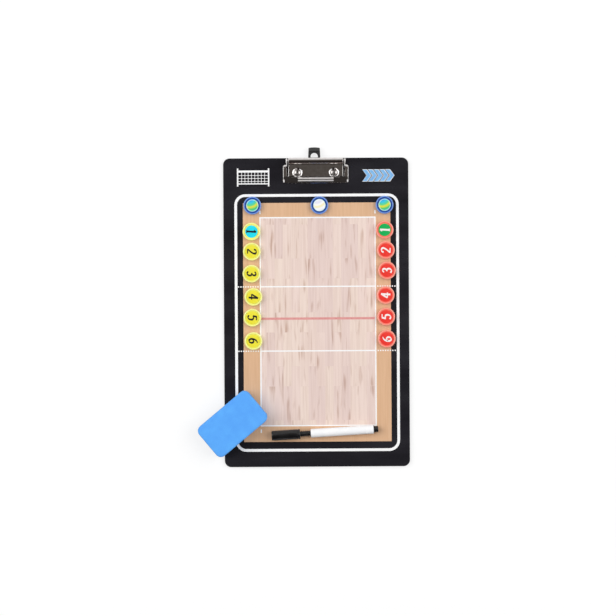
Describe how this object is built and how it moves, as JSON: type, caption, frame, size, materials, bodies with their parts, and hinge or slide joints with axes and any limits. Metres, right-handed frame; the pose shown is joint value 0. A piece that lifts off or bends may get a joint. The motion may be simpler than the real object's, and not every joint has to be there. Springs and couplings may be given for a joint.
{
  "type": "tactics board",
  "caption": "Magnetic tactics clipboard with a printed court, a sprung clip with a pull-out hang hook, numbered magnets, a marker pen and a foam eraser.",
  "frame": {"origin": "centre of the board's back face", "axes": "+X to the right, +Y along the board towards the clip, +Z out of the printed front"},
  "size_m": [0.2434, 0.367, 0.0231],
  "materials": {
    "board_sheet": "gloss black laminate",
    "board_core": "matt black",
    "steel": "cold-rolled",
    "chrome": "bright plated",
    "spring_steel": "drawn wire",
    "black_plastic": "satin moulded",
    "yellow_plastic": "gloss moulded",
    "red_plastic": "gloss moulded",
    "blue_plastic": "gloss moulded",
    "ferrite": "sintered",
    "marker_black": "satin moulded",
    "marker_white": "gloss moulded",
    "felt": "pressed felt",
    "foam": "fine closed-cell foam"
  },
  "bodies": {
    "board": {"back_sheet": "board_sheet", "core_board": "board_core", "steel_sheet": "steel", "front_sheet": "board_sheet", "clip_base": "chrome", "clip_rivets": "chrome", "clip_springs": "spring_steel"},
    "jaw": {"clip_jaw": "chrome", "clip_hinge_pin": "chrome"},
    "hook": {"hang_hook": "black_plastic"},
    "marker_cap": {"marker_cap": "marker_black"},
    "marker_pen": {"marker_section": "marker_black", "marker_nib": "felt", "marker_barrel": "marker_white", "marker_reservoir": "felt", "marker_end_plug": "marker_black"},
    "eraser": {"eraser_body": "foam", "eraser_felt": "felt"},
    "left_magnet_1": {"left_magnet_1_cap": "yellow_plastic", "left_magnet_1_ferrite": "ferrite"},
    "left_magnet_2": {"left_magnet_2_cap": "yellow_plastic", "left_magnet_2_ferrite": "ferrite"},
    "left_magnet_3": {"left_magnet_3_cap": "yellow_plastic", "left_magnet_3_ferrite": "ferrite"},
    "left_magnet_4": {"left_magnet_4_cap": "yellow_plastic", "left_magnet_4_ferrite": "ferrite"},
    "left_magnet_5": {"left_magnet_5_cap": "yellow_plastic", "left_magnet_5_ferrite": "ferrite"},
    "left_magnet_6": {"left_magnet_6_cap": "yellow_plastic", "left_magnet_6_ferrite": "ferrite"},
    "right_magnet_1": {"right_magnet_1_cap": "red_plastic", "right_magnet_1_ferrite": "ferrite"},
    "right_magnet_2": {"right_magnet_2_cap": "red_plastic", "right_magnet_2_ferrite": "ferrite"},
    "right_magnet_3": {"right_magnet_3_cap": "red_plastic", "right_magnet_3_ferrite": "ferrite"},
    "right_magnet_4": {"right_magnet_4_cap": "red_plastic", "right_magnet_4_ferrite": "ferrite"},
    "right_magnet_5": {"right_magnet_5_cap": "red_plastic", "right_magnet_5_ferrite": "ferrite"},
    "right_magnet_6": {"right_magnet_6_cap": "red_plastic", "right_magnet_6_ferrite": "ferrite"},
    "top_magnet_left": {"top_magnet_left_cap": "blue_plastic", "top_magnet_left_ferrite": "ferrite"},
    "top_magnet_centre": {"top_magnet_centre_cap": "blue_plastic", "top_magnet_centre_ferrite": "ferrite"},
    "top_magnet_right": {"top_magnet_right_cap": "blue_plastic", "top_magnet_right_ferrite": "ferrite"}
  },
  "joints": [
    {"name": "clip_jaw", "type": "hinge", "parent": "board", "child": "jaw", "pos_m": [0, 0.1739, 0.0102], "axis": [-1, 0, 0], "range_deg": [0, 60], "stiffness_Nm_per_rad": 0.35, "springref_deg": -34.38, "deforming": ["clip_springs"]},
    {"name": "hook_slide", "type": "slide", "parent": "board", "child": "hook", "axis": [0, 1, 0], "range_m": [-0.008, 0.0032]},
    {"name": "marker_lift", "type": "slide", "parent": "board", "child": "marker_cap", "axis": [0, 0, 1], "range_m": [0, 0.03]},
    {"name": "marker_uncap", "type": "slide", "parent": "marker_cap", "child": "marker_pen", "axis": [0.9983, 0.0576, 0], "range_m": [0, 0.03]},
    {"name": "eraser_lift", "type": "slide", "parent": "board", "child": "eraser", "axis": [0, 0, 1], "range_m": [0, 0.03]},
    {"name": "left_magnet_1_lift", "type": "slide", "parent": "board", "child": "left_magnet_1", "axis": [0, 0, 1], "range_m": [0, 0.02]},
    {"name": "left_magnet_2_lift", "type": "slide", "parent": "board", "child": "left_magnet_2", "axis": [0, 0, 1], "range_m": [0, 0.02]},
    {"name": "left_magnet_3_lift", "type": "slide", "parent": "board", "child": "left_magnet_3", "axis": [0, 0, 1], "range_m": [0, 0.02]},
    {"name": "left_magnet_4_lift", "type": "slide", "parent": "board", "child": "left_magnet_4", "axis": [0, 0, 1], "range_m": [0, 0.02]},
    {"name": "left_magnet_5_lift", "type": "slide", "parent": "board", "child": "left_magnet_5", "axis": [0, 0, 1], "range_m": [0, 0.02]},
    {"name": "left_magnet_6_lift", "type": "slide", "parent": "board", "child": "left_magnet_6", "axis": [0, 0, 1], "range_m": [0, 0.02]},
    {"name": "right_magnet_1_lift", "type": "slide", "parent": "board", "child": "right_magnet_1", "axis": [0, 0, 1], "range_m": [0, 0.02]},
    {"name": "right_magnet_2_lift", "type": "slide", "parent": "board", "child": "right_magnet_2", "axis": [0, 0, 1], "range_m": [0, 0.02]},
    {"name": "right_magnet_3_lift", "type": "slide", "parent": "board", "child": "right_magnet_3", "axis": [0, 0, 1], "range_m": [0, 0.02]},
    {"name": "right_magnet_4_lift", "type": "slide", "parent": "board", "child": "right_magnet_4", "axis": [0, 0, 1], "range_m": [0, 0.02]},
    {"name": "right_magnet_5_lift", "type": "slide", "parent": "board", "child": "right_magnet_5", "axis": [0, 0, 1], "range_m": [0, 0.02]},
    {"name": "right_magnet_6_lift", "type": "slide", "parent": "board", "child": "right_magnet_6", "axis": [0, 0, 1], "range_m": [0, 0.02]},
    {"name": "top_magnet_left_lift", "type": "slide", "parent": "board", "child": "top_magnet_left", "axis": [0, 0, 1], "range_m": [0, 0.02]},
    {"name": "top_magnet_centre_lift", "type": "slide", "parent": "board", "child": "top_magnet_centre", "axis": [0, 0, 1], "range_m": [0, 0.02]},
    {"name": "top_magnet_right_lift", "type": "slide", "parent": "board", "child": "top_magnet_right", "axis": [0, 0, 1], "range_m": [0, 0.02]}
  ]
}
